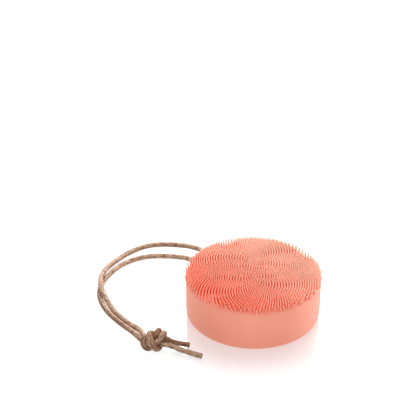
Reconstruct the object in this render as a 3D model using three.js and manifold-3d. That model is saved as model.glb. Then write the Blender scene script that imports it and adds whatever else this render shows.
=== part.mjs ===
// Facial cleansing brush: a round silicone cover with a bristled face, filled by a sealed hard shell that
// holds the battery, circuit board and vibration motor, with a knotted hanging cord looped round a post.
// Millimetres. +Z is up through the bristles, the origin is the middle of the underside, and the cord leaves
// towards +Y. The charging jack faces +X.
import * as THREE from 'three';
import { mergeVertices } from 'three/addons/utils/BufferGeometryUtils.js';
import Module from 'manifold-3d';

const wasm = await Module();
wasm.setup();

// ---- driving dimensions ----
const bodyRadius = 45;
const skin = 2.4; // wall of the silicone cover
const faceZ = 29.5; // root plane of the bristles
const bristleLength = 4.3;
const bristleFlare = 0.6; // how far the outer tips stand out past the side wall
const bottomRound = 5.2;
const gap = 0.3; // clearance between neighbouring pieces
const slideGap = 0.25; // clearance round the sliding stem
const shellWall = 2.2;
const coverLip = 1.8; // thickness of the lip and of the back cover
const lipRadius = 38.3; // inner edge of the cover's lip
const dishRadius = 12; // shallow dish round the button
const dishDepth = 0.8;
const splitZ = 8.8; // top edge of the shell base
const gasket = 0.8;
const cordRadius = 1.75;
const cordMouthX = 5; // half of the distance between the two strands at the wall
const cordMouthZ = 13;
const jackZ = 15.4;
const boardZ = 11;
const boardThickness = 1.6;
const motorY = -22;
const motorZ = 13.6;
const roundSides = 72;
const smallSides = 20;

// ---- values worked out from them ----
const shellRadius = bodyRadius - skin - gap;
const innerRadius = shellRadius - shellWall;
const shellBottom = coverLip + gap;
const floorZ = shellBottom + 1.8;
const shellTop = faceZ - skin + 0.2 - gap;
const ceilingZ = shellTop - 1.8;
const topStartZ = splitZ + gasket;
const boardTop = boardZ + boardThickness;

// ---- materials ----
const paint = (colour, roughness, metalness = 0) =>
  new THREE.MeshStandardMaterial({ color: colour, roughness, metalness });
const silicone = paint(0xf29a80, 0.55);
const backPlastic = paint(0xeb927a, 0.5);
const cordFibre = paint(0xa98a74, 0.85);
const shellPlastic = paint(0xe9e6e0, 0.45);
const clearPlastic = paint(0xdde6ea, 0.15);
const sealRubber = paint(0x2b2b2d, 0.8);
const steel = paint(0xb9bcc0, 0.35, 1);
const brassMetal = paint(0xc8a24a, 0.35, 1);
const boardGreen = paint(0x1f6b3f, 0.5);
const blackPlastic = paint(0x1d1d20, 0.5);
const batteryFoil = paint(0xc3c7cb, 0.4, 0.6);
const foam = paint(0x3a3a3c, 0.95);
const redWire = paint(0xb3261e, 0.5);
const blackWire = paint(0x202022, 0.5);
const ceramicTan = paint(0xb08f66, 0.5);
const lampWhite = paint(0xf4f4ee, 0.3);

// ---- shape helpers ----
const brush = new THREE.Group();

function add(name, geometry, material) {
  const mesh = new THREE.Mesh(geometry, material);
  mesh.name = name;
  brush.add(mesh);
  return mesh;
}

// A turned piece: the profile is a list of [radius, z], walked anticlockwise.
function turned(profile, sides = roundSides) {
  const points = profile.map(([radius, z]) => new THREE.Vector2(radius, z));
  return new THREE.LatheGeometry(points, sides).rotateX(Math.PI / 2);
}

function disc(radius, bottom, top, x = 0, y = 0, sides = smallSides) {
  return turned([[0, bottom], [radius, bottom], [radius, top], [0, top]], sides).translate(x, y, 0);
}

function ring(inner, outer, bottom, top, sides = roundSides) {
  return turned([[inner, bottom], [outer, bottom], [outer, top], [inner, top], [inner, bottom]], sides);
}

function block(xRange, yRange, zRange) {
  const [x0, x1] = xRange;
  const [y0, y1] = yRange;
  const [z0, z1] = zRange;
  return new THREE.BoxGeometry(x1 - x0, y1 - y0, z1 - z0)
    .translate((x0 + x1) / 2, (y0 + y1) / 2, (z0 + z1) / 2);
}

// A round bar along X.
function bar(radius, x0, x1, y, z, sides = smallSides) {
  return disc(radius, x0, x1, 0, 0, sides).rotateY(Math.PI / 2).translate(0, y, z);
}

// A round bar along Y.
function barY(radius, y0, y1, x, z) {
  return disc(radius, y0, y1).rotateX(-Math.PI / 2).translate(x, 0, z);
}

function arc(centreR, centreZ, radius, from, to, steps) {
  return Array.from({ length: steps + 1 }, (_, i) => {
    const angle = THREE.MathUtils.degToRad(from + ((to - from) * i) / steps);
    return [centreR + radius * Math.cos(angle), centreZ + radius * Math.sin(angle)];
  });
}

// A round tube that follows a smooth curve through the points.
function tube(points, radius, sides, stepLength) {
  const curve = new THREE.CatmullRomCurve3(points.map((point) => new THREE.Vector3(...point)));
  const section = new THREE.Shape();
  for (let i = 0; i < sides; i += 1) {
    const angle = ((i + 0.5) * 2 * Math.PI) / sides;
    const method = i === 0 ? 'moveTo' : 'lineTo';
    section[method](radius * Math.cos(angle), radius * Math.sin(angle));
  }
  section.closePath();
  const steps = Math.max(2, Math.round(curve.getLength() / stepLength));
  return new THREE.ExtrudeGeometry(section, { steps, extrudePath: curve, bevelEnabled: false });
}

// ---- boolean helpers ----
function toSolid(geometry) {
  const plain = geometry.clone();
  plain.deleteAttribute('normal');
  plain.deleteAttribute('uv');
  const merged = mergeVertices(plain, 1e-4);
  const index = Array.from(merged.index.array);
  const kept = [];
  for (let i = 0; i < index.length; i += 3) {
    const [a, b, c] = index.slice(i, i + 3);
    if (a !== b && b !== c && c !== a) kept.push(a, b, c);
  }
  const vertProperties = Float32Array.from(merged.attributes.position.array);
  const triVerts = Uint32Array.from(kept);
  return new wasm.Manifold(new wasm.Mesh({ numProp: 3, vertProperties, triVerts }));
}

function toGeometry(solid) {
  const mesh = solid.getMesh();
  const geometry = new THREE.BufferGeometry();
  geometry.setAttribute('position', new THREE.BufferAttribute(mesh.vertProperties, 3));
  geometry.setIndex(new THREE.BufferAttribute(mesh.triVerts, 1));
  return geometry;
}

// Joins the extra shapes to a base shape, then cuts the holes out of it.
function carved(base, joined, cuts) {
  let solid = toSolid(base);
  joined.forEach((shape) => { solid = solid.add(toSolid(shape)); });
  cuts.forEach((shape) => { solid = solid.subtract(toSolid(shape)); });
  return toGeometry(solid);
}

// ---- repeated places ----
const bossRing = 35.5;
const bossPlaces = [45, 135, 225, 315].map((degrees) => {
  const angle = THREE.MathUtils.degToRad(degrees);
  return [bossRing * Math.cos(angle), bossRing * Math.sin(angle)];
});
const boardScrewPlaces = [[-14.5, 6.3], [-14.5, -6.3], [18, 6.3], [18, -6.3]];
const motorScrewPlaces = [[-4.5, motorY + 10.8], [-4.5, motorY - 10.8]];
const pipeX = 10.6; // light pipe and status light

// ---- silicone cover: bristled face, side wall and the lip that turns under ----
const tipZ = faceZ + bristleLength;
const rimDrop = 1.2; // the bristles start this far down the rounded rim
const tipRound = 3; // the outermost tips follow an arc
const coverInside = bodyRadius - skin;
const mouthRadius = cordRadius + gap;
const cover = turned([
  [0, faceZ - skin + 0.2],
  [coverInside, faceZ - skin + 0.2],
  [coverInside, coverLip],
  [lipRadius, coverLip],
  [lipRadius, 0],
  ...arc(bodyRadius - bottomRound, bottomRound, bottomRound, -90, 0, 5),
  [bodyRadius, faceZ - rimDrop],
  ...arc(bodyRadius + bristleFlare - tipRound, tipZ - tipRound, tipRound, 0, 90, 4),
  [0, tipZ],
]);
const coverCuts = [
  barY(mouthRadius, coverInside - 2, bodyRadius + 2, cordMouthX, cordMouthZ),
  barY(mouthRadius, coverInside - 2, bodyRadius + 2, -cordMouthX, cordMouthZ),
  bar(1.5, coverInside - 2, bodyRadius + 2, 0, jackZ),
];
add('bristle_cover', carved(cover, [], coverCuts), silicone);

// ---- back cover with its dish, button hole and light pipe hole ----
const buttonRadius = 5.9;
const pipeRadius = 1;
const backRadius = lipRadius - gap;
const back = turned([
  [0, dishDepth],
  [dishRadius, dishDepth],
  [dishRadius + dishDepth, 0],
  [backRadius - 0.5, 0],
  [backRadius, 0.5],
  [backRadius, coverLip],
  [0, coverLip],
]);
const backCuts = [
  disc(buttonRadius + gap, -1, coverLip + 1, 0, 0, 32),
  disc(pipeRadius + gap, -1, coverLip + 1, pipeX, 0),
];
add('back_cover', carved(back, [], backCuts), backPlastic);

// ---- power button: cap, flange and stem turned in one piece ----
const flangeRadius = 6.8;
const flangeTop = shellBottom + 0.8;
const stemRadius = 1.3;
const stemTop = 7.3;
const button = turned([
  [0, dishDepth + 0.25],
  [3.6, dishDepth + 0.1],
  [buttonRadius - 0.5, dishDepth + 0.1],
  [buttonRadius, dishDepth + 0.5],
  [buttonRadius, shellBottom],
  [flangeRadius, shellBottom],
  [flangeRadius, flangeTop],
  [stemRadius, flangeTop],
  [stemRadius, stemTop],
  [0, stemTop],
], 32);
add('power_button', button, backPlastic);

// ---- shell base: tray with the button housing, board posts and screw bosses ----
const pocketRadius = flangeRadius + 0.4;
const pocketTop = 4.3;
const glandFloor = 5.3;
const housingTop = 6.6;
const glandRadius = 2.9;
const bossRadius = 3;
const screwRadius = 0.9;
const headRadius = 1.9;
const headHeight = 1.4;
const base = turned([
  [0, shellBottom],
  [shellRadius - 0.8, shellBottom],
  [shellRadius, shellBottom + 0.8],
  [shellRadius, splitZ],
  [innerRadius, splitZ],
  [innerRadius, floorZ],
  [0, floorZ],
]);
const baseJoined = [
  disc(pocketRadius + 1.6, floorZ - 0.5, housingTop, 0, 0, 32),
  disc(pipeRadius + 1.4, floorZ - 0.5, housingTop, pipeX, 0),
  ...bossPlaces.map(([x, y]) => disc(bossRadius, floorZ - 0.5, splitZ, x, y)),
  ...boardScrewPlaces.map(([x, y]) => disc(2.2, floorZ - 0.5, boardZ, x, y)),
];
const baseCuts = [
  disc(pocketRadius, 0, pocketTop, 0, 0, 32),
  disc(stemRadius + slideGap, 0, housingTop + 1),
  disc(glandRadius, glandFloor, housingTop + 1),
  disc(pipeRadius + gap, 0, housingTop + 1, pipeX, 0),
  ...bossPlaces.map(([x, y]) => disc(screwRadius + gap, 0, splitZ + 1, x, y)),
  ...bossPlaces.map(([x, y]) => disc(headRadius + gap, 0, shellBottom + headHeight, x, y)),
  ...boardScrewPlaces.map(([x, y]) => disc(0.8, boardZ - 4.5, boardZ + 1, x, y, 12)),
];
add('shell_base', carved(base, baseJoined, baseCuts), shellPlastic);

// ---- seal ring on the button's stem ----
const sealWire = 0.5;
const buttonSeal = turned(arc(stemRadius + slideGap + sealWire, glandFloor + 0.65, sealWire, 0, 360, 10), 24);
add('button_seal', buttonSeal, sealRubber);

// ---- light pipe ----
add('light_pipe', disc(pipeRadius, dishDepth, boardZ - 1.3, pipeX, 0), clearPlastic);

// ---- shell top: cup with the cord pocket, jack hole and screw bosses ----
const pocketHalfWidth = 9;
const pocketBottom = cordMouthZ - 2.1;
const pocketCeiling = cordMouthZ + 2.1;
const pocketBack = 31.6;
const pocketWall = 1.4;
const jackRadius = 2.6;
const top = turned([
  [0, ceilingZ],
  [innerRadius, ceilingZ],
  [innerRadius, topStartZ],
  [shellRadius, topStartZ],
  [shellRadius, shellTop - 0.8],
  [shellRadius - 0.8, shellTop],
  [0, shellTop],
]);
const topJoined = [
  block(
    [-pocketHalfWidth - pocketWall, pocketHalfWidth + pocketWall],
    [pocketBack - pocketWall, innerRadius - 0.3],
    [topStartZ, pocketCeiling + pocketWall],
  ),
  ...bossPlaces.map(([x, y]) => disc(bossRadius, topStartZ, ceilingZ + 0.5, x, y)),
  ...motorScrewPlaces.map(([x, y]) => disc(2.2, motorZ + 2.2, ceilingZ + 0.5, x, y)),
];
const topCuts = [
  block([-pocketHalfWidth, pocketHalfWidth], [pocketBack, bodyRadius], [pocketBottom, pocketCeiling]),
  bar(jackRadius + gap, innerRadius - 3, bodyRadius, 0, jackZ),
  ...bossPlaces.map(([x, y]) => disc(screwRadius + gap, 0, 17.5, x, y)),
  ...motorScrewPlaces.map(([x, y]) => disc(1.1, 0, ceilingZ - 0.8, x, y)),
];
add('shell_top', carved(top, topJoined, topCuts), shellPlastic);
add('shell_gasket', ring(innerRadius + 0.2, shellRadius - 0.2, splitZ, topStartZ), sealRubber);

// ---- screws ----
function screw(name, x, y, seatZ, head, shank, headThickness, tipHeight, sides) {
  // The head hangs below the seat and the shank points up.
  const profile = [
    [0, seatZ - headThickness],
    [head, seatZ - headThickness],
    [head, seatZ],
    [shank, seatZ],
    [shank, tipHeight],
    [0, tipHeight],
  ];
  return add(name, turned(profile, sides).translate(x, y, 0), steel);
}
bossPlaces.forEach(([x, y], i) => {
  screw(`shell_screw_${i + 1}`, x, y, shellBottom + headHeight, headRadius, screwRadius, headHeight, 17, 16);
});
motorScrewPlaces.forEach(([x, y], i) => {
  screw(`motor_screw_${i + 1}`, x, y, motorZ + 0.4, 1.8, 0.8, 1.1, 19, 14);
});
boardScrewPlaces.forEach(([x, y], i) => {
  const profile = [
    [0, boardZ - 4],
    [0.55, boardZ - 4],
    [0.55, boardTop],
    [1.6, boardTop],
    [1.6, boardTop + 1],
    [0, boardTop + 1],
  ];
  add(`board_screw_${i + 1}`, turned(profile, 14).translate(x, y, 0), steel);
});

// ---- circuit board and what sits on it ----
const board = block([-17, 31.3], [-9, 9], [boardZ, boardTop]);
const boardHoles = boardScrewPlaces.map(([x, y]) => disc(0.9, boardZ - 1, boardTop + 1, x, y, 12));
add('circuit_board', carved(board, [], boardHoles), boardGreen);
const onBoard = (height) => [boardTop, boardTop + height];
add('controller_chip', block([-4, 2], [-3, 3], onBoard(0.9)), blackPlastic);
add('charger_chip', block([12, 15], [-1.5, 1.5], onBoard(0.9)), blackPlastic);
add('inductor', block([5, 9.2], [-5.6, -1.4], onBoard(2.2)), ceramicTan);
add('capacitor_1', block([-8.5, -6.5], [3, 4.3], onBoard(0.9)), ceramicTan);
add('capacitor_2', block([16.5, 18.5], [-2, -0.7], onBoard(0.9)), ceramicTan);
add('status_light', block([pipeX - 1, pipeX + 1], [-0.8, 0.8], [boardZ - 1, boardZ]), lampWhite);
add('battery_connector', block([7.6, 13.4], [3.9, 8.5], onBoard(3)), lampWhite);

// ---- tact switch under the board and its plunger ----
const switchBottom = 7.9;
const plungerRadius = 1.7;
const switchCuts = [disc(plungerRadius + slideGap, switchBottom - 1, 9.3)];
add('tact_switch', carved(block([-3, 3], [-3, 3], [switchBottom, boardZ]), [], switchCuts), blackPlastic);
add('switch_plunger', disc(plungerRadius, stemTop + 0.2, 8.6), lampWhite);

// ---- battery, its foam pad and wires ----
const padTop = floorZ + 0.7;
add('battery_pad', block([-15, 15], [12, 27], [floorZ, padTop]), foam);
function pouch() {
  const [x, y, corner] = [17, 9, 2];
  const outline = new THREE.Shape();
  outline.moveTo(-x + corner, -y);
  outline.lineTo(x - corner, -y);
  outline.absarc(x - corner, -y + corner, corner, -Math.PI / 2, 0);
  outline.absarc(x - corner, y - corner, corner, 0, Math.PI / 2);
  outline.absarc(-x + corner, y - corner, corner, Math.PI / 2, Math.PI);
  outline.absarc(-x + corner, -y + corner, corner, Math.PI, Math.PI * 1.5);
  const geometry = new THREE.ExtrudeGeometry(outline, { depth: 7, bevelEnabled: false, curveSegments: 4 });
  return geometry.translate(0, 19.5, padTop);
}
add('battery', pouch(), batteryFoil);
function batteryWire(name, x, material) {
  const route = [[x, 15, padTop + 7.3], [x, 14.6, 13.4], [x, 12.5, 14.4], [x, 10.5, 14.3], [x, 8.8, 14.1]];
  add(name, tube(route, 0.5, 6, 1.6), material);
}
batteryWire('battery_wire_red', 9.6, redWire);
batteryWire('battery_wire_black', 11.4, blackWire);

// ---- charging jack, its centre pin and seal ----
const jackFront = shellRadius - 0.3;
const jackBack = 31;
const jackBody = block([23, jackBack], [-4, 4], [boardTop, boardTop + 5.6]);
const jackBarrel = bar(jackRadius, jackBack - 0.5, jackFront, 0, jackZ);
const jackBore = bar(1.2, 26, jackFront + 1, 0, jackZ);
add('charging_jack', carved(jackBody, [jackBarrel], [jackBore]), blackPlastic);
add('jack_pin', bar(0.45, 26.1, jackFront - 4, 0, jackZ, 12), brassMetal);
const jackSeal = ring(jackRadius + gap, 4.2, 38.4, 39.6, smallSides);
add('jack_seal', jackSeal.rotateY(Math.PI / 2).translate(0, 0, jackZ), sealRubber);

// ---- vibration motor, turning on an axis along X ----
function doubleD(radius, halfHeight, grow = 0) {
  const r = radius + grow;
  const h = halfHeight + grow;
  const angle = Math.asin(h / r);
  const outline = new THREE.Shape();
  outline.absarc(0, 0, r, -angle, angle);
  outline.absarc(0, 0, r, Math.PI - angle, Math.PI + angle);
  outline.closePath();
  return outline;
}
// Extrudes an outline drawn in the Y-Z plane along X, centred on the motor's axis.
function alongMotor(outline, x0, x1) {
  const options = { depth: x1 - x0, bevelEnabled: false, curveSegments: 6 };
  return new THREE.ExtrudeGeometry(outline, options)
    .rotateX(Math.PI / 2)
    .rotateZ(Math.PI / 2)
    .translate(x0, motorY, motorZ);
}
const canFront = 3;
const canBack = -12;
const shaftRadius = 1;
const shaftBore = shaftRadius + 0.1;
const can = alongMotor(doubleD(6, 5), canBack, canFront);
add('motor_can', carved(can, [], [bar(shaftBore, canFront - 6, canFront + 1, motorY, motorZ)]), steel);
add('motor_end_cap', alongMotor(doubleD(5.6, 4.7), canBack - 1.5, canBack - 0.3), blackPlastic);
add('motor_shaft', bar(shaftRadius, canFront - 5.7, 12.4, motorY, motorZ), steel);

function halfWeight() {
  const outline = new THREE.Shape();
  outline.absarc(0, 0, 5, Math.PI, 2 * Math.PI);
  outline.absarc(0, 0, 2, 0, Math.PI);
  outline.closePath();
  return outline;
}
const weight = alongMotor(halfWeight(), 5, 12);
add('eccentric_weight', carved(weight, [], [bar(shaftBore, 4, 13, motorY, motorZ)]), brassMetal);

const sleeve = alongMotor(doubleD(6, 5, 1), -9, 0);
add('motor_sleeve', carved(sleeve, [], [alongMotor(doubleD(6, 5, 0.15), -10, 1)]), sealRubber);

function strapOutline() {
  const inside = 7.3;
  const outside = inside + 1.4;
  const ear = 12.6;
  const earTop = 1.9;
  const earBottom = 0.4;
  const depth = 6.3;
  const outline = new THREE.Shape();
  outline.moveTo(-ear, earBottom);
  outline.lineTo(-outside, earBottom);
  outline.lineTo(-outside, -depth - 1.4);
  outline.lineTo(outside, -depth - 1.4);
  outline.lineTo(outside, earBottom);
  outline.lineTo(ear, earBottom);
  outline.lineTo(ear, earTop);
  outline.lineTo(inside, earTop);
  outline.lineTo(inside, -depth);
  outline.lineTo(-inside, -depth);
  outline.lineTo(-inside, earTop);
  outline.lineTo(-ear, earTop);
  outline.closePath();
  return outline;
}
const strapHoles = motorScrewPlaces.map(([x, y]) => disc(1.1, motorZ - 1, motorZ + 3, x, y, 14));
add('motor_strap', carved(alongMotor(strapOutline(), -8, -1), [], strapHoles), shellPlastic);

const wireStartX = canBack - 1.9;
add('motor_wire_red', tube([
  [wireStartX, motorY + 1.4, 14.6],
  [-16, -19.4, 15.2],
  [-16.2, -15.6, 15.6],
  [-13, -11.6, 15.2],
  [-10.2, -8.8, 14.4],
  [-9.4, -7.6, boardTop + 0.3],
], 0.5, 6, 2), redWire);
add('motor_wire_black', tube([
  [wireStartX, motorY - 1.2, 14.6],
  [-17.6, -22, 15.2],
  [-18.6, -16, 15.6],
  [-15.4, -11, 15.2],
  [-12.2, -8.6, 14.4],
  [-11.2, -7.6, boardTop + 0.3],
], 0.5, 6, 2), blackWire);

// ---- hanging cord: post, inner bend, two strands, knot and two tails ----
const postY = 38.5;
add('cord_post', disc(cordMouthX - cordRadius - gap, pocketBottom, pocketCeiling, 0, postY, 24), shellPlastic);

const bendPoints = [[cordMouthX, coverInside + 0.1, cordMouthZ]];
for (let degrees = 0; degrees >= -180; degrees -= 30) {
  const angle = THREE.MathUtils.degToRad(degrees);
  bendPoints.push([cordMouthX * Math.cos(angle), postY + cordMouthX * Math.sin(angle), cordMouthZ]);
}
bendPoints.push([-cordMouthX, coverInside + 0.1, cordMouthZ]);
add('cord_inner_bend', tube(bendPoints, cordRadius, 8, 2), cordFibre);

const strandStartY = coverInside + 0.4;
const strandStep = 4 * cordRadius;
const strandA = [
  [cordMouthX, strandStartY, cordMouthZ],
  [5.2, 48, 13],
  [6.2, 55, 12.7],
  [8.2, 64, 11.8],
  [10.2, 74, 9.8],
  [10.1, 85.5, 6.7],
  [7.2, 96.2, 3.9],
  [1.3, 105.2, 2.3],
  [-6.6, 110.8, 1.9],
  [-16.5, 112.8, 1.9],
  [-27.9, 111.8, 1.9],
  [-39.3, 108.3, 2.1],
  [-49.7, 103.2, 3],
  [-58.5, 96.2, 4.5],
  [-65.6, 87.9, 5.6],
  [-70.3, 79.4, 5.7],
  [-73.3, 70.4, 5],
  [-75.1, 61.5, 3.2],
  [-76.1, 52.2, 2],
  [-76.2, 41.8, 1.9],
  [-75.6, 32.6, 2.3],
  [-75.3, 23.3, 3.6],
  [-76, 14, 5.2],
];
const strandB = [
  [-cordMouthX, strandStartY, cordMouthZ],
  [-4.9, 48, 12.9],
  [-4.4, 55, 12.3],
  [-4, 63.5, 11.1],
  [-4.2, 72.5, 8.7],
  [-5.8, 82.4, 5.4],
  [-9.5, 91.4, 2.9],
  [-15.8, 97.8, 2],
  [-25, 101.3, 1.9],
  [-35.3, 101.6, 1.9],
  [-45.3, 99.5, 1.9],
  [-54.9, 95, 1.9],
  [-63.3, 89.1, 1.9],
  [-70.5, 81.5, 1.9],
  [-75.5, 72.6, 1.9],
  [-78.4, 63.6, 1.9],
  [-79.9, 54, 1.9],
  [-80.1, 44.7, 1.9],
  [-79.7, 35.4, 2],
  [-79.7, 25.5, 3],
  [-81, 15.2, 4.8],
];
add('cord_strand_a', tube(strandA, cordRadius, 8, strandStep), cordFibre);
add('cord_strand_b', tube(strandB, cordRadius, 8, strandStep), cordFibre);

// The knot is a closed egg-like solid of the knot's outer size, lying on the same surface as the body.
const knotCentre = [-76, 5.3, 5.9];
const knotTurn = THREE.MathUtils.degToRad(-30);
const knot = new THREE.SphereGeometry(1, 20, 12)
  .scale(9.5, 6.2, 5.8)
  .rotateZ(knotTurn)
  .translate(...knotCentre);
add('cord_knot', knot, cordFibre);
add('cord_tail_a', tube([[-67, -0.7, 5.1], [-62.8, -3.6, 3.5], [-57.6, -7.2, 1.95]], cordRadius, 8, 5), cordFibre);
add('cord_tail_b', tube([[-69.5, -3.5, 4.4], [-64.3, -11.1, 2.5], [-58.2, -21.3, 1.9]], cordRadius, 8, 5), cordFibre);

export default brush;
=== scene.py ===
"""A facial cleansing brush: a round coral silicone body, a spiral field of bristles and a knotted cord.

Metres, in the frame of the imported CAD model: +Z is up, the cord leaves towards +Y, and the body's middle
is at the origin.
"""
import math

import bmesh
import bpy
import numpy as np
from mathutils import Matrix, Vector


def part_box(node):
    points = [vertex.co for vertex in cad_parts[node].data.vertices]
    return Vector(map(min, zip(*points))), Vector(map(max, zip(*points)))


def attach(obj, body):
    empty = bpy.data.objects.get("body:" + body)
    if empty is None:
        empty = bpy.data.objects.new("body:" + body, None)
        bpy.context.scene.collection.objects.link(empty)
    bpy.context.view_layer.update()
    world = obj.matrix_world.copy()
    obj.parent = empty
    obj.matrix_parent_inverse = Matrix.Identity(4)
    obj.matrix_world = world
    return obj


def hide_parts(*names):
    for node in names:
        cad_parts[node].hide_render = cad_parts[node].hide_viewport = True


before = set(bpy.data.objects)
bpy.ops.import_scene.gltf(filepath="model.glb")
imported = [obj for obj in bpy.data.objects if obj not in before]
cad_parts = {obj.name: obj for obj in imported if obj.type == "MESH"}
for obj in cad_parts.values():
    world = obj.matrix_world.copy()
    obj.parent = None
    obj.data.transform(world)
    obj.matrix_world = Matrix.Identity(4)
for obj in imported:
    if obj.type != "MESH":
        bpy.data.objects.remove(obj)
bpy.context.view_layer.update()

MM = 0.001

# ---- driving dimensions ----
BODY_RADIUS = 45.0 * MM
SKIN = 2.4 * MM
BOTTOM_ROUND = 5.2 * MM
RIM_ROUND = 2.2 * MM
LIP_RADIUS = 38.3 * MM
LIP_HEIGHT = 1.8 * MM
TIP_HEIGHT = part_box("bristle_cover")[1].z
BRISTLE_LENGTH = 4.3 * MM
FACE_HEIGHT = TIP_HEIGHT - BRISTLE_LENGTH
CORD_RADIUS = 1.75 * MM
CORD_MOUTH_X = 5.0 * MM
CORD_MOUTH_HEIGHT = 13.0 * MM
CORD_MOUTH_RADIUS = CORD_RADIUS + 0.3 * MM
JACK_HEIGHT = 15.4 * MM
JACK_RADIUS = 1.5 * MM

SEED = 11
random = np.random.default_rng(SEED)


# ---- camera: the photograph's viewing angle ----
CAMERA_ELEVATION = math.radians(29.12)
CAMERA_AZIMUTH = math.radians(-36.5)
CAMERA_PLACE = (-0.3939, -0.48395, 0.4263)
SENSOR_WIDTH = 36.0           # millimetres, as is the lens
LENS = 95.44
CLIP_NEAR = 0.01
CLIP_FAR = 50.0


def add_camera():
    """The view is 29 degrees down, with the cord's exit behind and to the left."""
    data = bpy.data.cameras.new("camera")
    data.sensor_width = SENSOR_WIDTH
    data.lens = LENS
    data.clip_start = CLIP_NEAR
    data.clip_end = CLIP_FAR
    camera = bpy.data.objects.new("camera", data)
    camera.rotation_euler = (math.pi / 2 - CAMERA_ELEVATION, 0.0, CAMERA_AZIMUTH)
    camera.location = CAMERA_PLACE
    bpy.context.scene.collection.objects.link(camera)
    bpy.context.scene.camera = camera


add_camera()


# ---- material helpers ----
def colour(red, green, blue):
    """A display colour, 0 to 255, as the linear colour that shaders take."""

    def linear(value):
        value /= 255
        return value / 12.92 if value <= 0.04045 else ((value + 0.055) / 1.055) ** 2.4

    return (linear(red), linear(green), linear(blue), 1.0)


MIX_FIRST = 6                 # colour sockets of a mix node, whose names aren't unique
MIX_SECOND = 7
MIX_RESULT = 2
SHADER_FIRST = 1              # and those of a mix shader
SHADER_SECOND = 2


class Surface:
    """A principled material whose parts are added one by one."""

    def __init__(self, name, metallic=0.0, specular=0.5):
        self.material = bpy.data.materials.new(name)
        self.material.use_nodes = True
        self.nodes = self.material.node_tree.nodes
        self.shader = self.nodes["Principled BSDF"]
        self.shader.inputs["Metallic"].default_value = metallic
        self.shader.inputs["Specular IOR Level"].default_value = specular
        self.where = self.add("ShaderNodeTexCoord").outputs["Object"]

    def add(self, kind):
        return self.nodes.new(kind)

    def link(self, output, node, socket):
        self.material.node_tree.links.new(output, node.inputs[socket])

    def attribute(self, name, output):
        """Values that the mesh carries at its points."""
        attribute = self.add("ShaderNodeAttribute")
        attribute.attribute_name = name
        return attribute.outputs[output]

    def straightened(self, stretch):
        """Coordinates along a cord as if it lay straight, drawn out along its length."""
        mapping = self.add("ShaderNodeMapping")
        mapping.inputs["Scale"].default_value = (1.0, 1.0, 1.0 / stretch)
        self.link(self.attribute("straight", "Vector"), mapping, "Vector")
        return mapping.outputs["Vector"]

    def painted_light_mask(self):
        """Nought along the side opposite a strand's painted paler side, one along that side: a mask for
        painted light.
        """
        parts = self.add("ShaderNodeSeparateXYZ")
        self.link(self.attribute("straight", "Vector"), parts, "Vector")
        spread = self.add("ShaderNodeMapRange")
        spread.inputs["From Min"].default_value = -CORD_RADIUS
        spread.inputs["From Max"].default_value = CORD_RADIUS
        self.link(parts.outputs["X"], spread, "Value")
        return spread.outputs["Result"]

    def noise(self, scale, detail=3.0, roughness=0.55, where=None):
        texture = self.add("ShaderNodeTexNoise")
        texture.inputs["Scale"].default_value = scale
        texture.inputs["Detail"].default_value = detail
        texture.inputs["Roughness"].default_value = roughness
        self.link(self.where if where is None else where, texture, "Vector")
        return texture.outputs["Fac"]

    def tones(self, factor, low, high, start=0.3, end=0.7):
        """A colour that goes from low to high as factor goes from start to end."""
        ramp = self.add("ShaderNodeValToRGB")
        first, last = ramp.color_ramp.elements
        first.position, first.color = start, low
        last.position, last.color = end, high
        self.link(factor, ramp, "Fac")
        return ramp.outputs["Color"]

    def mixed(self, factor, one, other, amount=None, way="MIX"):
        mix = self.add("ShaderNodeMix")
        mix.data_type = "RGBA"
        mix.blend_type = way
        if factor is None:
            mix.inputs["Factor"].default_value = amount
        else:
            self.link(factor, mix, "Factor")
        self.link(one, mix, MIX_FIRST)
        self.link(other, mix, MIX_SECOND)
        return mix.outputs[MIX_RESULT]

    def paint(self, output):
        self.link(output, self.shader, "Base Color")

    def rough(self, factor, low, high):
        spread = self.add("ShaderNodeMapRange")
        spread.inputs["To Min"].default_value = low
        spread.inputs["To Max"].default_value = high
        self.link(factor, spread, "Value")
        self.link(spread.outputs["Result"], self.shader, "Roughness")

    def let_light_through(self, share, tone):
        """Mixes in light that passes through thin parts."""
        through = self.add("ShaderNodeBsdfTranslucent")
        both = self.add("ShaderNodeMixShader")
        both.inputs["Fac"].default_value = share
        self.link(tone, through, "Color")
        self.link(self.shader.outputs["BSDF"], both, SHADER_FIRST)
        self.link(through.outputs["BSDF"], both, SHADER_SECOND)
        self.link(both.outputs["Shader"], self.nodes["Material Output"], "Surface")

    def glow(self, tone, strength):
        """Painted glow: emission on a part that is no lamp, standing in for the light that spreads inside
        soft, milky silicone.
        """
        self.shader.inputs["Emission Color"].default_value = tone
        self.shader.inputs["Emission Strength"].default_value = strength

    def bump(self, height, strength, distance):
        relief = self.add("ShaderNodeBump")
        relief.inputs["Strength"].default_value = strength
        relief.inputs["Distance"].default_value = distance
        self.link(height, relief, "Height")
        self.link(relief.outputs["Normal"], self.shader, "Normal")


def plain_surface(name, low, high, rough=(0.4, 0.6), grain=350.0, relief=0.03 * MM, metallic=0.0):
    """Two close tones, uneven roughness and a fine grain, with rubbed lighter patches."""
    made = Surface(name, metallic=metallic)
    grain_noise = made.noise(grain)
    patches = made.noise(45.0, detail=2.0)
    mottled = made.tones(grain_noise, colour(*low), colour(*high))
    wear_and_painted_light = made.tones(patches, colour(*low), colour(*high), 0.35, 0.8)
    made.paint(made.mixed(patches, mottled, wear_and_painted_light))
    made.rough(patches, *rough)
    made.bump(grain_noise, 0.3, relief)
    return made.material


# ---- silicone: one tone for the wall, a deeper painted-shade tone at the bristles' roots and painted light at their tips, and a painted glow on both ----
WALL_LOW = (236, 146, 122)
WALL_HIGH = (242, 158, 136)
WALL_SHEEN = 0.08
# painted glow: the wall gives off light of its own, though it is no lamp
WALL_PAINTED_GLOW = 0.08
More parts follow.
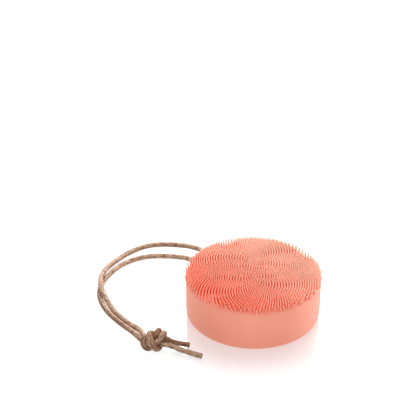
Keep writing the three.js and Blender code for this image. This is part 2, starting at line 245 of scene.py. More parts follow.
# painted shade at the bristles' roots, where they shade each other, and painted light at their pale tips
BRISTLE_ROOT_SHADE = (250, 116, 62)
BRISTLE_TIP_LIGHT = (253, 227, 212)
# painted glow: the bristles give off light of their own, though they are no lamp
BRISTLE_PAINTED_GLOW = 0.04
BRISTLE_SEE_THROUGH = 0.45


def silicone_wall():
    made = Surface("silicone_wall", specular=0.4)
    cloud = made.noise(28.0, detail=2.0)
    dust = made.noise(2600.0, detail=2.0)
    made.paint(made.tones(cloud, colour(*WALL_LOW), colour(*WALL_HIGH)))
    made.rough(cloud, 0.46, 0.6)
    made.bump(dust, 0.2, 0.02 * MM)
    made.shader.inputs["Sheen Weight"].default_value = WALL_SHEEN
    # painted glow on the wall
    made.glow(colour(255, 130, 90), WALL_PAINTED_GLOW)
    return made.material


def silicone_bristles():
    made = Surface("silicone_bristles", specular=0.7)
    # painted light and shade: a deep painted-shade tone at each bristle's root, a pale painted-light tone
    # at its tip
    painted_light_and_shade = made.attribute("painted_light_and_shade", "Fac")
    shank = made.tones(painted_light_and_shade, colour(*BRISTLE_ROOT_SHADE), colour(*BRISTLE_TIP_LIGHT), 0.0, 1.0)
    cloud = made.noise(40.0, detail=2.0)
    tint = made.tones(cloud, colour(240, 235, 232), colour(255, 255, 255))
    made.paint(made.mixed(None, shank, tint, 1.0, "MULTIPLY"))
    made.rough(cloud, 0.34, 0.46)
    made.bump(made.noise(1800.0), 0.15, 0.02 * MM)
    # painted glow on the bristles
    made.glow(colour(255, 110, 50), BRISTLE_PAINTED_GLOW)
    made.let_light_through(BRISTLE_SEE_THROUGH, shank)
    return made.material


# ---- waxed cord: long fibres, dark specks, and painted light: one side painted paler than the other ----
def cord_fibre():
    made = Surface("cord_fibre", specular=0.45)
    along = made.straightened(6.0)
    short = made.straightened(2.0)
    threads = made.noise(1700.0, detail=5.0, where=along)
    specks = made.noise(1500.0, detail=3.0, where=short)
    blotches = made.noise(150.0, detail=2.0, where=short)
    base = made.tones(threads, colour(108, 77, 57), colour(220, 187, 160), 0.34, 0.62)
    dark = made.tones(specks, colour(196, 178, 166), colour(255, 252, 248), 0.36, 0.54)
    worn = made.tones(blotches, colour(232, 226, 220), colour(255, 255, 255))
    # painted light: the side of each strand taken as lit is painted paler, the other darker
    wear_and_painted_light = made.tones(made.painted_light_mask(), colour(206, 186, 170), colour(255, 255, 255), 0.15, 0.8)
    for layer in (dark, worn, wear_and_painted_light):
        base = made.mixed(None, base, layer, 1.0, "MULTIPLY")
    made.paint(base)
    made.rough(specks, 0.45, 0.75)
    made.bump(threads, 0.4, 0.1 * MM)
    return made.material


# ---- finishes of the CAD pieces, by material slot ----
PLAIN_FINISHES = {
    "shell_plastic": dict(low=(222, 218, 210), high=(234, 231, 225)),
    "seal_rubber": dict(low=(38, 38, 40), high=(52, 52, 54), rough=(0.65, 0.85)),
    "steel": dict(low=(176, 178, 182), high=(204, 205, 208), rough=(0.25, 0.42), grain=900.0, metallic=1.0),
    "brass": dict(low=(186, 150, 84), high=(212, 178, 108), rough=(0.28, 0.45), grain=900.0, metallic=1.0),
    "circuit_board": dict(low=(24, 92, 54), high=(34, 112, 66), rough=(0.35, 0.5), grain=700.0),
    "black_plastic": dict(low=(26, 26, 29), high=(40, 40, 44)),
    "component_tan": dict(low=(168, 136, 96), high=(188, 156, 114), rough=(0.5, 0.7)),
    "white_plastic": dict(low=(232, 232, 226), high=(244, 244, 240), rough=(0.25, 0.4)),
    "foam": dict(low=(46, 46, 48), high=(74, 74, 76), rough=(0.85, 0.98), grain=1500.0, relief=0.2 * MM),
    "battery_foil": dict(low=(182, 186, 190), high=(206, 209, 212), rough=(0.3, 0.5), metallic=0.7),
    "wire_red": dict(low=(168, 30, 26), high=(190, 44, 38), rough=(0.4, 0.55)),
    "wire_black": dict(low=(28, 28, 30), high=(42, 42, 45), rough=(0.4, 0.55)),
    "back_plastic": dict(low=(228, 134, 112), high=(236, 146, 124), rough=(0.45, 0.6), grain=1400.0),
    "clear_plastic": dict(low=(214, 224, 228), high=(230, 237, 240), rough=(0.12, 0.25)),
}


def finish_cad_nodes(finishes):
    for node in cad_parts.values():
        for place, material in enumerate(node.data.materials):
            node.data.materials[place] = finishes[material.name.split(".")[0]]


finishes = {name: plain_surface(name + "_finish", **look) for name, look in PLAIN_FINISHES.items()}
finishes["silicone_cover"] = silicone_wall()
finishes["cord_fibre"] = cord_fibre()
bristle_finish = silicone_bristles()
finish_cad_nodes(finishes)


# ---- mesh helpers ----
def add_piece(name, points, faces, material, replaced=()):
    """One smooth mesh piece that rides on the body, in place of the named CAD nodes."""
    mesh = bpy.data.meshes.new(name)
    mesh.from_pydata(points.tolist() if isinstance(points, np.ndarray) else points, [], faces)
    mesh.shade_smooth()
    mesh.materials.append(material)
    piece = bpy.data.objects.new(name, mesh)
    bpy.context.scene.collection.objects.link(piece)
    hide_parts(*replaced)
    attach(piece, "body")
    return piece


def smooth_line(points, per_span=12):
    """A centripetal Catmull-Rom curve through the points."""
    p = np.array(points, float)
    p = np.vstack([2 * p[0] - p[1], p, 2 * p[-1] - p[-2]])
    made = []
    for p0, p1, p2, p3 in zip(p, p[1:], p[2:], p[3:]):
        t0 = 0.0
        t1 = t0 + np.linalg.norm(p1 - p0) ** 0.5
        t2 = t1 + np.linalg.norm(p2 - p1) ** 0.5
        t3 = t2 + np.linalg.norm(p3 - p2) ** 0.5
        for t in np.linspace(t1, t2, per_span, endpoint=False):
            a1 = ((t1 - t) * p0 + (t - t0) * p1) / (t1 - t0)
            a2 = ((t2 - t) * p1 + (t - t1) * p2) / (t2 - t1)
            a3 = ((t3 - t) * p2 + (t - t2) * p3) / (t3 - t2)
            b1 = ((t2 - t) * a1 + (t - t0) * a2) / (t2 - t0)
            b2 = ((t3 - t) * a2 + (t - t1) * a3) / (t3 - t1)
            made.append(((t2 - t) * b1 + (t - t1) * b2) / (t2 - t1))
    made.append(p[-2])
    return np.array(made)


def distances_along(line):
    return np.r_[0.0, np.cumsum(np.linalg.norm(np.diff(line, axis=0), axis=1))]


def evenly_spaced(line, step):
    along = distances_along(line)
    places = np.linspace(0.0, along[-1], int(round(along[-1] / step)) + 1)
    return np.stack([np.interp(places, along, line[:, axis]) for axis in range(3)], axis=1)


def side_directions(line, first):
    """The line's directions, and sideways directions that never twist round it."""
    ahead = np.gradient(line, axis=0)
    ahead /= np.linalg.norm(ahead, axis=1)[:, None]
    side = np.array(first, float)
    sides = []
    for direction in ahead:
        side = side - side @ direction * direction
        side /= np.linalg.norm(side)
        sides.append(side)
    return ahead, np.array(sides)


# ---- cord routes: two strands from the mouths to the knot ----
STRAND_A = MM * np.array([
    (5, 43, 13), (5.2, 48, 13), (6.2, 55, 12.7), (8.2, 64, 11.8), (10.2, 74, 9.8), (10.1, 85.5, 6.7),
    (7.2, 96.2, 3.9), (1.3, 105.2, 2.3), (-6.6, 110.8, 1.9), (-16.5, 112.8, 1.9), (-27.9, 111.8, 1.9),
    (-39.3, 108.3, 2.1), (-49.7, 103.2, 3), (-58.5, 96.2, 4.5), (-65.6, 87.9, 5.6),
    (-70.3, 79.4, 5.7), (-73.3, 70.4, 5), (-75.1, 61.5, 3.2), (-76.1, 52.2, 2), (-76.2, 41.8, 1.9),
    (-75.6, 32.6, 2.3), (-75.3, 23.3, 3.6), (-76, 14, 5.2),
])
STRAND_B = MM * np.array([
    (-5, 43, 13), (-4.9, 48, 12.9), (-4.4, 55, 12.3), (-4, 63.5, 11.1), (-4.2, 72.5, 8.7),
    (-5.8, 82.4, 5.4), (-9.5, 91.4, 2.9), (-15.8, 97.8, 2), (-25, 101.3, 1.9), (-35.3, 101.6, 1.9),
    (-45.3, 99.5, 1.9), (-54.9, 95, 1.9), (-63.3, 89.1, 1.9), (-70.5, 81.5, 1.9), (-75.5, 72.6, 1.9),
    (-78.4, 63.6, 1.9), (-79.9, 54, 1.9), (-80.1, 44.7, 1.9), (-79.7, 35.4, 2), (-79.7, 25.5, 3),
    (-81, 15.2, 4.8),
])
TAIL_A = MM * np.array([(-67, -0.7, 5.1), (-62.8, -3.6, 3.5), (-57.6, -7.2, 1.95)])
TAIL_B = MM * np.array([(-69.5, -3.5, 4.4), (-64.3, -11.1, 2.5), (-58.2, -21.3, 1.9)])
KNOT_MIDDLE = MM * np.array([-76.5, 3.7, 0.0])
KNOT_TURN = math.radians(-17.0)
KNOT_ROLL = math.radians(66.0)
KNOT_ENTRY = -4.4 * MM        # where the kept, tied part starts and ends along the knot
KNOT_EXIT = 5.5 * MM
KNOT_SWELL = 1.1              # the cord is fatter where it is tied
SWELL_REACH = 5.0 * MM        # and thins out over this length on each side


# ---- knot: an overhand knot in the doubled cord, pulled tight step by step ----
# Lengths here are millimetres: the knot is tied in a cord of its own width, then scaled to the real one.
KNOT_WIDTH = 3.0
KNOT_STEP = 1.5               # between neighbouring points of a strand
KNOT_SIZE = 3.8               # scale of the loose knot
KNOT_LEAD = 10.0              # straight cord before and after it
KNOT_SIDE = 0.52              # each strand's distance from their middle line, in cord widths
KNOT_PULL = 0.3               # how far each end moves outwards in one step
KNOT_STRETCH = 1.03           # the ends wait while a strand is stretched more than this
KNOT_BAND = 1.5               # the strands stay within this many cord widths of each other
KNOT_STIFFNESS = 0.04         # share of each bend that straightens in one step
END_RETURN = 0.02             # share of the way back to the knot's axis that the ends go in one step
NEIGHBOURS = 2                # points this near along one strand don't push each other apart
ROUNDS_PER_STEP = 5
LENGTH_PULL = 0.65            # how strongly each round restores lengths, nearness and clearance
BAND_PULL = 0.4
CLEARANCE_PUSH = 1.4
TIGHTENING_STEPS = 560
SETTLING_STEPS = 150


def loose_knot():
    """Both strands along a wide overhand knot, side by side."""
    u = np.linspace(-2.1, 2.1, 600)
    lead = np.array([KNOT_LEAD, 0.0, 0.0])
    middle = KNOT_SIZE * np.stack([u ** 3 - 3 * u, u ** 4 - 4 * u ** 2, (u ** 5 - 10 * u) / 3.2], axis=1)
    middle = np.vstack([middle[0] - lead, middle, middle[-1] + lead])
    middle = evenly_spaced(middle, KNOT_STEP)
    for _ in range(20):
        middle[1:-1] = 0.5 * middle[1:-1] + 0.25 * (middle[:-2] + middle[2:])
    middle = evenly_spaced(middle, KNOT_STEP)
    _, side = side_directions(middle, (0.0, 1.0, 0.0))
    half = KNOT_SIDE * KNOT_WIDTH * side
    return np.stack([middle + half, middle - half])


def keep_length(strands, length):
    for first in (0, 1):
        i = np.arange(first, strands.shape[1] - 1, 2)
        apart = strands[:, i + 1] - strands[:, i]
        size = np.linalg.norm(apart, axis=2)[..., None]
        shift = LENGTH_PULL * (size - length) / size * apart
        strands[:, i] += shift
        strands[:, i + 1] -= shift


def keep_side_by_side(strands, furthest):
    apart = strands[1] - strands[0]
    size = np.linalg.norm(apart, axis=1)[:, None]
    shift = BAND_PULL * np.maximum(size - furthest, 0) / size * apart
    strands[0] += shift
    strands[1] -= shift


def push_apart(flat, one, other):
    """Moves points of different stretches of cord apart until they are a cord's width from each other."""
    apart = flat[other] - flat[one]
    squared = (apart ** 2).sum(axis=1)
    touching = np.nonzero(squared < KNOT_WIDTH * KNOT_WIDTH)[0]
    one, other, apart = one[touching], other[touching], apart[touching]
    size = np.maximum(np.sqrt(squared[touching]), 1e-6)
    shift = (0.5 * (KNOT_WIDTH - size) / size)[:, None] * apart
    total = np.zeros_like(flat)
    hits = np.zeros(len(flat))
    np.add.at(total, one, -shift)
    np.add.at(total, other, shift)
    np.add.at(hits, one, 1)
    np.add.at(hits, other, 1)
    flat += CLEARANCE_PUSH * total / np.maximum(hits, 1)[:, None]


def tie_knot():
    """Pulls the ends of the loose knot apart until it closes, then lets it settle."""
    strands = loose_knot()
    count = strands.shape[1]
    length = np.linalg.norm(np.diff(strands[0], axis=0), axis=1).mean()
    flat = strands.reshape(-1, 3)
    strand = np.repeat([0, 1], count)
    place = np.tile(np.arange(count), 2)
    one, other = np.triu_indices(2 * count, 1)
    apart = (strand[one] != strand[other]) | (np.abs(place[one] - place[other]) > NEIGHBOURS)
    one, other = one[apart], other[apart]
    ends = np.array([0, count - 1, count, 2 * count - 1])
    axis = flat.mean(axis=0)
    goal = axis + KNOT_SIDE * KNOT_WIDTH * np.array([[0, 1, 0], [0, 1, 0], [0, -1, 0], [0, -1, 0]])
    for step in range(TIGHTENING_STEPS + SETTLING_STEPS):
        tightening = step < TIGHTENING_STEPS
        stretched = np.linalg.norm(np.diff(strands, axis=1), axis=2).mean(axis=1).max() / length
        if tightening and stretched < KNOT_STRETCH:
            flat[ends, 0] += KNOT_PULL * np.array([-1, 1, -1, 1])
        flat[ends, 1:] += END_RETURN * (goal - flat[ends])[:, 1:]
        held = flat[ends].copy()
        bend = strands[:, :-2] + strands[:, 2:] - 2 * strands[:, 1:-1]
        strands[:, 1:-1] += KNOT_STIFFNESS * bend
        for _ in range(ROUNDS_PER_STEP):
            keep_length(strands, length)
            if tightening:
                keep_side_by_side(strands, KNOT_BAND * KNOT_WIDTH)
            push_apart(flat, one, other)
            flat[ends] = held
    return strands


def placed_knot():
    """The tied part of both strands, at its place on the floor, from the side where they come in."""
    scale = KNOT_SWELL * 2 * CORD_RADIUS / (KNOT_WIDTH * MM)
    strands = tie_knot()[:, ::-1] * -MM
    near = np.abs(strands[:, :, 0] - strands[:, :, 0].mean()) < 2 * KNOT_EXIT
    strands = scale * (strands - strands[near].mean(axis=0))
    roll_cos, roll_sin = math.cos(KNOT_ROLL), math.sin(KNOT_ROLL)
    roll = np.array([[1, 0, 0], [0, roll_cos, -roll_sin], [0, roll_sin, roll_cos]])
    turn_cos, turn_sin = math.cos(KNOT_TURN), math.sin(KNOT_TURN)
    turn = np.array([[turn_cos, -turn_sin, 0], [turn_sin, turn_cos, 0], [0, 0, 1]])
    tied = []
    for strand in strands:
        first = np.nonzero(strand[:, 0] > scale * KNOT_ENTRY)[0][0]
        last = np.nonzero(strand[:, 0] < scale * KNOT_EXIT)[0][-1]
        tied.append(strand[first:last + 1] @ roll.T @ turn.T)
    lowest = min(part[:, 2].min() for part in tied)
    middle = KNOT_MIDDLE + np.array([0.0, 0.0, KNOT_SWELL * CORD_RADIUS - lowest])
    return [part + middle for part in tied]


# ---- cord pieces ----
RING_STEP = 0.7 * MM
RING_SIDES = 20
UNEVEN = 0.012                # how much a strand's radius and its outline vary along it, as shares
RIPPLE = 0.01
UNEVEN_WAVE = 7.3 * MM
RIPPLE_WAVE = 2.9 * MM
DENT_WAVE = 4.1 * MM
END_DRAWN_IN = 0.9
END_LENGTH = 0.12 * MM
LINE_SMOOTHING = 0.25
SMOOTHING_ROUNDS = 6


def rings_along(line, knot_start, knot_end, painted_paler_side):
    """Rings round the line, a little uneven as a waxed cord is, and the same rings laid straight."""
    ahead, side = side_directions(line, painted_paler_side)
    up = np.cross(ahead, side)
    along = distances_along(line)
    angle = np.linspace(0.0, 2 * math.pi, RING_SIDES, endpoint=False)
    swell = UNEVEN * np.sin(along / UNEVEN_WAVE) + RIPPLE * np.sin(along / RIPPLE_WAVE + 1.0)
    dents = UNEVEN * np.sin(3 * angle[None, :] + along[:, None] / DENT_WAVE)
    outside = np.maximum(along[knot_start] - along, along - along[knot_end])
    tied = np.clip(1 - outside / SWELL_REACH, 0.0, 1.0)
    swell = swell + (KNOT_SWELL - 1) * tied * tied * (3 - 2 * tied)
    radius = CORD_RADIUS * (1 + swell[:, None] + dents)
    around = np.cos(angle)[None, :, None] * side[:, None] + np.sin(angle)[None, :, None] * up[:, None]
    rings = line[:, None] + radius[..., None] * around
    straight = np.stack([
        radius * np.cos(angle), radius * np.sin(angle), np.broadcast_to(along[:, None], radius.shape),
    ], axis=2)
    return rings, straight


def tube_faces(ring_count, start, capped):
    faces = []
    for ring in range(ring_count - 1):
        for side in range(RING_SIDES):
            following = (side + 1) % RING_SIDES
            a = start + ring * RING_SIDES
            b = a + RING_SIDES
            faces.append((a + side, a + following, b + following, b + side))
    for at_end in capped:
        a = start + (ring_count - 1) * RING_SIDES if at_end else start
        loop = [a + side for side in range(RING_SIDES)]
        faces.append(loop if at_end else loop[::-1])
    return faces


def cut_end(rings, straight):
    """A bare cut end: the last ring drawn in a little, so that the edge isn't sharp."""
    middle = rings[-1].mean(axis=0)
    ahead = middle - rings[-2].mean(axis=0)
    ahead /= np.linalg.norm(ahead)
    drawn_in = middle + END_DRAWN_IN * (rings[-1] - middle) + END_LENGTH * ahead
    return np.concatenate([rings, drawn_in[None]]), np.concatenate([straight, straight[-1:]])


def add_tubes(name, tubes, replaced, capped):
    """One piece of one or more tubes, each given as (rings, straightened rings)."""
    points = np.concatenate([rings.reshape(-1, 3) for rings, _ in tubes])
    straight = np.concatenate([laid.reshape(-1, 3) for _, laid in tubes])
    faces = []
    start = 0
    for rings, _ in tubes:
        faces += tube_faces(len(rings), start, capped)
        start += len(rings) * RING_SIDES
    piece = add_piece(name, points, faces, finishes["cord_fibre"], replaced)
    attribute = piece.data.attributes.new("straight", "FLOAT_VECTOR", "POINT")
    attribute.data.foreach_set("vector", straight.astype(np.float32).ravel())
    return piece


def nearest_place(line, point):
    return int(np.argmin(np.linalg.norm(line - point, axis=1)))


def cord_line(route, tied, tail):
    """The whole centreline of one strand, and the places where its knot and its tail begin."""
    line = evenly_spaced(smooth_line(np.vstack([route[:-1], tied, tail])), RING_STEP)
    knot_place = nearest_place(line, tied[0])
    tail_place = nearest_place(line, tied[-1])
    for _ in range(SMOOTHING_ROUNDS):
        bend = line[:-2] + line[2:] - 2 * line[1:-1]
        bend[:knot_place // 2] = 0.0      # the half nearer the mouth stays as it is
        line[1:-1] += LINE_SMOOTHING * bend
    line[:, 2] = np.maximum(line[:, 2], CORD_RADIUS)
    return line, knot_place, tail_place


def add_cords():
    tied_b, tied_a = placed_knot()
    knot_tubes = []
    parts = {}
    # the last entry of each course is the side painted paler, as painted light
    courses = (
        ("a", STRAND_A, tied_a, TAIL_A, (0.0, 0.0, 1.0)),
        ("b", STRAND_B, tied_b, TAIL_B, (-1.0, 0.0, 0.2)),
    )
    for letter, route, tied, tail, painted_paler_side in courses:
        line, knot_place, tail_place = cord_line(route, tied, tail)
        rings, straight = rings_along(line, knot_place, tail_place, painted_paler_side)
        knot_tubes.append((rings[knot_place:tail_place + 1], straight[knot_place:tail_place + 1]))
        free = slice(0, knot_place + 1)
        strand_tube = (rings[free], straight[free])
        strand = add_tubes("strand_" + letter, [strand_tube], ["cord_strand_" + letter], [False])
        tail_tube = cut_end(rings[tail_place:], straight[tail_place:])
        tail_piece = add_tubes("tail_" + letter, [tail_tube], ["cord_tail_" + letter], [True])
        parts[letter] = (strand, line[free], tail_piece)
    knot = add_tubes("knot", knot_tubes, ["cord_knot"], [])
    for letter, mouth_x in (("a", CORD_MOUTH_X), ("b", -CORD_MOUTH_X)):
        strand, line, tail_piece = parts[letter]


add_cords()


# ---- silicone cover: wall, rounded bottom, rolled lip and the face under the bristles ----
COVER_COLUMNS = 470
WALL_ROW = 0.6 * MM
FACE_RINGS = (12, 24, 34, 40)           # millimetres from the middle
LIP_ROUND = 0.5 * MM
MOUTH_BEHIND = 1.2 * MM       # only the wall from this far behind a mouth's middle belongs to its edge,
MOUTH_REACH = 2.5             # and only within this many radii of it
MOUTH_FLARE = 0.3 * MM
MOUTH_EDGE = ((0.08 * MM, 0.1 * MM), (0.35 * MM, 0.0))      # how far in, and how much wider there


def arc_points(middle_r, middle_z, radius, start, end, steps):
    angles = np.radians(np.linspace(start, end, steps + 1))
    return [(middle_r + radius * math.cos(a), middle_z + radius * math.sin(a)) for a in angles]


def cover_profile():
    """Radius and height from the middle of the face, down the outside and back along the inside."""
    inside = BODY_RADIUS - SKIN
    wall_top = FACE_HEIGHT - RIM_ROUND
    rows = int(round((wall_top - BOTTOM_ROUND) / WALL_ROW))
    face = [(radius * MM, FACE_HEIGHT) for radius in FACE_RINGS]
    rim = arc_points(BODY_RADIUS - RIM_ROUND, wall_top, RIM_ROUND, 90, 0, 8)
    wall = [(BODY_RADIUS, wall_top + (BOTTOM_ROUND - wall_top) * row / rows) for row in range(1, rows)]
    bottom = arc_points(BODY_RADIUS - BOTTOM_ROUND, BOTTOM_ROUND, BOTTOM_ROUND, 0, -90, 10)
    lip = arc_points(LIP_RADIUS + LIP_ROUND, LIP_ROUND, LIP_ROUND, -90, -180, 5)
    inner = [(LIP_RADIUS, LIP_HEIGHT), (inside, LIP_HEIGHT), (inside, FACE_HEIGHT - SKIN)]
    return face + rim + wall + bottom + lip + inner


def open_hole(mesh, middle, axis, radius, depth):
    """Cuts a round mouth with a softened edge through the wall, and lines it inwards along -axis."""
    middle, axis = Vector(middle), Vector(axis)

    def offset(point):
        away = point - middle
        return away - away.dot(axis) * axis

    def on_wall(point):
        return (point - middle).dot(axis) > -MOUTH_BEHIND and (point - middle).length < MOUTH_REACH * radius

    inside = [f for f in mesh.faces if on_wall(f.calc_center_median())
              and offset(f.calc_center_median()).length < radius]
    bmesh.ops.delete(mesh, geom=inside, context="FACES")
    edge = [e for e in mesh.edges if e.is_boundary and all(on_wall(v.co) for v in e.verts)]
    for vertex in {v for e in edge for v in e.verts}:
        away = offset(vertex.co)
        vertex.co += away * ((radius + MOUTH_FLARE) / away.length - 1)
    for inward, opening in (*MOUTH_EDGE, (depth, 0.0)):
        made = bmesh.ops.extrude_edge_only(mesh, edges=edge)["geom"]
        edge = [item for item in made if isinstance(item, bmesh.types.BMEdge) and item.is_boundary]
        for vertex in {v for e in edge for v in e.verts}:
            away = offset(vertex.co)
            vertex.co += away * ((radius + opening) / away.length - 1) - axis * inward


def add_cover():
    profile = cover_profile()
    angles = np.linspace(0.0, 2 * math.pi, COVER_COLUMNS, endpoint=False)
    mesh = bmesh.new()
    rows = []
    for radius, height in profile:
        rows.append([mesh.verts.new((radius * math.cos(a), radius * math.sin(a), height)) for a in angles])
    for upper, lower in zip(rows, rows[1:]):
        for column in range(COVER_COLUMNS):
            following = (column + 1) % COVER_COLUMNS
            mesh.faces.new((upper[column], lower[column], lower[following], upper[following]))
    mesh.faces.new(rows[0])
    mesh.faces.new(rows[-1][::-1])
    for side in (-CORD_MOUTH_X, CORD_MOUTH_X):
        wall_y = math.sqrt(BODY_RADIUS ** 2 - side ** 2)
        open_hole(mesh, (side, wall_y, CORD_MOUTH_HEIGHT), (0, 1, 0), CORD_MOUTH_RADIUS, SKIN)
    open_hole(mesh, (BODY_RADIUS, 0, JACK_HEIGHT), (1, 0, 0), JACK_RADIUS, SKIN)
    bmesh.ops.recalc_face_normals(mesh, faces=mesh.faces)
    data = bpy.data.meshes.new("cover")
    mesh.to_mesh(data)
    mesh.free()
    data.shade_smooth()
    data.materials.append(finishes["silicone_cover"])
    cover = bpy.data.objects.new("cover", data)
    bpy.context.scene.collection.objects.link(cover)
    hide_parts("bristle_cover")
    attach(cover, "body")


# ---- bristles: a sunflower spiral of tapered pins that lean out at the rim ----
GOLDEN_ANGLE = math.radians(137.508)
SPIRAL_START = math.radians(142.0)
SPIRAL_STEP = 1.004 * MM
FIELD_RADIUS = 44.5 * MM
BRISTLE_SIDES = 8
BRISTLE_PROFILE = (          # height as a share of the length, radius in millimetres
    (0.0, 0.84), (0.1, 0.66), (0.5, 0.57), (0.88, 0.48), (0.97, 0.32),
)
RIM_LEAN = math.radians(12.0)
LEAN_START = 0.9              # as a share of the field's radius, as is the stretch over which it grows
LEAN_STRETCH = 0.1
LEAN_POWER = 1.5
ROOT_DEPTH = 0.3 * MM
TIP_ROUND = 3.0 * MM          # the outermost tips follow an arc
TIP_REACH = BODY_RADIUS + 0.6 * MM
BRISTLE_JITTER = math.radians(0.7)
LENGTH_JITTER = 0.004
# painted light: the direction from which the bristles are painted as lit
PAINTED_LIT_SIDE = np.array([0.98, 0.2, 0.0])
PAINTED_LIT_SHARE = 0.38              # painted light: bristles towards the lit side are painted paler, those opposite deeper
RIM_PALE = 0.6                # and those at the rim are pale down to the root
RIM_PALE_START = 0.84


def bristle_root(radius):
    """Height of the face at that radius, and how far the bristle leans outwards there."""
    over_rim = max(0.0, radius - (BODY_RADIUS - RIM_ROUND))
    drop = RIM_ROUND - math.sqrt(max(RIM_ROUND ** 2 - over_rim ** 2, 0.0))
    lean = RIM_LEAN * max(0.0, (radius / FIELD_RADIUS - LEAN_START) / LEAN_STRETCH) ** LEAN_POWER
    return FACE_HEIGHT - drop, lean


def tip_height(radius):
    over_edge = min(max(0.0, radius - (TIP_REACH - TIP_ROUND)), TIP_ROUND)
    return TIP_HEIGHT - TIP_ROUND + math.sqrt(TIP_ROUND ** 2 - over_edge ** 2)


def bristle_faces(start):
    """Quads between the rings of one bristle, and triangles up to the point at its tip."""
    faces = []
    for ring in range(len(BRISTLE_PROFILE) - 1):
        for corner in range(BRISTLE_SIDES):
            following = (corner + 1) % BRISTLE_SIDES
            a = start + ring * BRISTLE_SIDES
            b = a + BRISTLE_SIDES
            faces.append((a + corner, a + following, b + following, b + corner))
    last = start + (len(BRISTLE_PROFILE) - 1) * BRISTLE_SIDES
    tip = last + BRISTLE_SIDES
    for corner in range(BRISTLE_SIDES):
        faces.append((last + corner, last + (corner + 1) % BRISTLE_SIDES, tip))
    return faces


def add_bristles():
    count = int((FIELD_RADIUS / SPIRAL_STEP) ** 2)
    points, faces, painted_light_and_shade = [], [], []
    turns = np.linspace(0.0, 2 * math.pi, BRISTLE_SIDES, endpoint=False)
    for number in range(count):
        radius = SPIRAL_STEP * math.sqrt(number + 0.5)
        angle = SPIRAL_START - number * GOLDEN_ANGLE
        height, lean = bristle_root(radius)
        outward = np.array([math.cos(angle), math.sin(angle), 0.0])
        across = np.array([-outward[1], outward[0], 0.0])
        sway = random.normal(0.0, BRISTLE_JITTER, 2)
        axis = outward * math.sin(lean + sway[0]) + across * math.sin(sway[1])
        axis[2] = math.sqrt(1 - axis @ axis)
        root = outward * radius
        root[2] = height - ROOT_DEPTH
        length = (tip_height(radius + BRISTLE_LENGTH * math.sin(lean)) - root[2]) / axis[2]
        length *= 1 + random.normal(0.0, LENGTH_JITTER)
        side = np.cross(axis, across)
        side /= np.linalg.norm(side)
        other = np.cross(axis, side)
        start = len(points)
        rim_pale = RIM_PALE * (radius / FIELD_RADIUS - RIM_PALE_START) / (1 - RIM_PALE_START)
        # painted light: paler towards the lit side and deeper opposite, more so further out
        lit = PAINTED_LIT_SHARE * radius / FIELD_RADIUS * (outward @ PAINTED_LIT_SIDE)
        # painted shade at the root, painted light towards the tip
        for share, thickness in BRISTLE_PROFILE:
            painted_light_and_shade += [max(share + lit, rim_pale)] * BRISTLE_SIDES
            middle = root + axis * length * share
            for turn in turns:
                points.append(middle + thickness * MM * (math.cos(turn) * side + math.sin(turn) * other))
        points.append(root + axis * length)
        painted_light_and_shade.append(max(1.0 + lit, rim_pale))
        faces += bristle_faces(start)
    bristles = add_piece("bristles", np.array(points), faces, bristle_finish)
    attribute = bristles.data.attributes.new("painted_light_and_shade", "FLOAT", "POINT")
    attribute.data.foreach_set("value", np.array(painted_light_and_shade, np.float32))


add_cover()
add_bristles()


# ---- floor and light: a white table that mirrors the body faintly, and large soft lamps ----
FLOOR_DROP = 0.1 * MM
FLOOR_HALF = 6.0
FLOOR_GLOW = 0.93             # stands for a lit glass table
FLOOR_LOW = (0.15, 0.15, 0.15, 1.0)
FLOOR_HIGH = (0.18, 0.18, 0.18, 1.0)
SHEEN = 0.44                  # share of mirrored light near the body
SHEEN_ROUGHNESS = 0.05
SHEEN_REACH = (45 * MM, 85 * MM)        # distances from the middle where it starts to fade and is gone
WORLD_STRENGTH = 0.64
LAMPS = (                     # name, place, width, power in watts
    ("key", (1.0, -0.05, 0.55), 0.8, 9.0),
    ("rear", (0.55, 0.9, 0.75), 0.9, 12.0),
    ("top", (0.15, 0.2, 1.3), 1.0, 8.5),
)


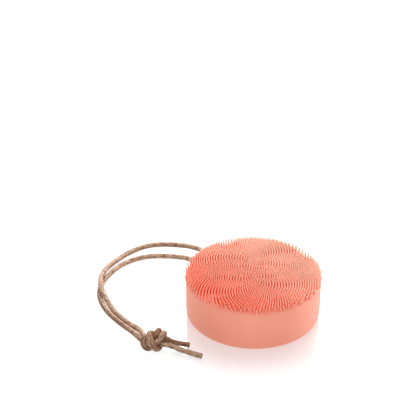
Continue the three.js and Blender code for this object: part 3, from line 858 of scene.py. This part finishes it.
def floor_white():
    material = bpy.data.materials.new("floor_white")
    material.use_nodes = True
    nodes, links = material.node_tree.nodes, material.node_tree.links
    nodes.remove(nodes["Principled BSDF"])
    matt = nodes.new("ShaderNodeBsdfDiffuse")
    sheen = nodes.new("ShaderNodeBsdfAnisotropic")
    sheen.inputs["Roughness"].default_value = SHEEN_ROUGHNESS
    both = nodes.new("ShaderNodeMixShader")
    glow = nodes.new("ShaderNodeEmission")
    glow.inputs["Strength"].default_value = FLOOR_GLOW
    lit = nodes.new("ShaderNodeAddShader")
    where = nodes.new("ShaderNodeTexCoord")
    distance = nodes.new("ShaderNodeVectorMath")
    distance.operation = "LENGTH"
    fade = nodes.new("ShaderNodeMapRange")
    fade.interpolation_type = "SMOOTHSTEP"
    fade.inputs["From Min"].default_value = SHEEN_REACH[0]
    fade.inputs["From Max"].default_value = SHEEN_REACH[1]
    fade.inputs["To Min"].default_value = SHEEN
    fade.inputs["To Max"].default_value = 0.0
    cloud = nodes.new("ShaderNodeTexNoise")
    cloud.inputs["Scale"].default_value = 6.0
    tone = nodes.new("ShaderNodeValToRGB")
    tone.color_ramp.elements[0].color = FLOOR_LOW
    tone.color_ramp.elements[1].color = FLOOR_HIGH
    links.new(where.outputs["Object"], distance.inputs[0])
    links.new(where.outputs["Object"], cloud.inputs["Vector"])
    links.new(cloud.outputs["Fac"], tone.inputs["Fac"])
    links.new(tone.outputs["Color"], matt.inputs["Color"])
    links.new(distance.outputs["Value"], fade.inputs["Value"])
    links.new(fade.outputs["Result"], both.inputs["Fac"])
    links.new(matt.outputs["BSDF"], lit.inputs[0])
    links.new(glow.outputs["Emission"], lit.inputs[1])
    links.new(lit.outputs["Shader"], both.inputs[SHADER_FIRST])
    links.new(sheen.outputs["BSDF"], both.inputs[SHADER_SECOND])
    links.new(both.outputs["Shader"], nodes["Material Output"].inputs["Surface"])
    return material


def add_floor():
    mesh = bpy.data.meshes.new("floor")
    corners = [(-FLOOR_HALF, -FLOOR_HALF, -FLOOR_DROP), (FLOOR_HALF, -FLOOR_HALF, -FLOOR_DROP),
               (FLOOR_HALF, FLOOR_HALF, -FLOOR_DROP), (-FLOOR_HALF, FLOOR_HALF, -FLOOR_DROP)]
    mesh.from_pydata(corners, [], [(0, 1, 2, 3)])
    mesh.materials.append(floor_white())
    floor = bpy.data.objects.new("floor", mesh)
    bpy.context.scene.collection.objects.link(floor)


def add_lamp(name, place, size, power):
    data = bpy.data.lights.new(name, "AREA")
    data.shape = "DISK"
    data.size = size
    data.energy = power
    lamp = bpy.data.objects.new(name, data)
    lamp.location = place
    lamp.rotation_euler = (-Vector(place)).to_track_quat("-Z", "Y").to_euler()
    bpy.context.scene.collection.objects.link(lamp)


def add_world(strength):
    world = bpy.data.worlds.new("studio")
    world.use_nodes = True
    background = world.node_tree.nodes["Background"]
    background.inputs["Color"].default_value = (1.0, 1.0, 1.0, 1.0)
    background.inputs["Strength"].default_value = strength
    bpy.context.scene.world = world


add_floor()
add_world(WORLD_STRENGTH)
for lamp_name, lamp_place, lamp_size, lamp_power in LAMPS:
    add_lamp(lamp_name, lamp_place, lamp_size, lamp_power)
bpy.context.scene.view_settings.view_transform = "Standard"
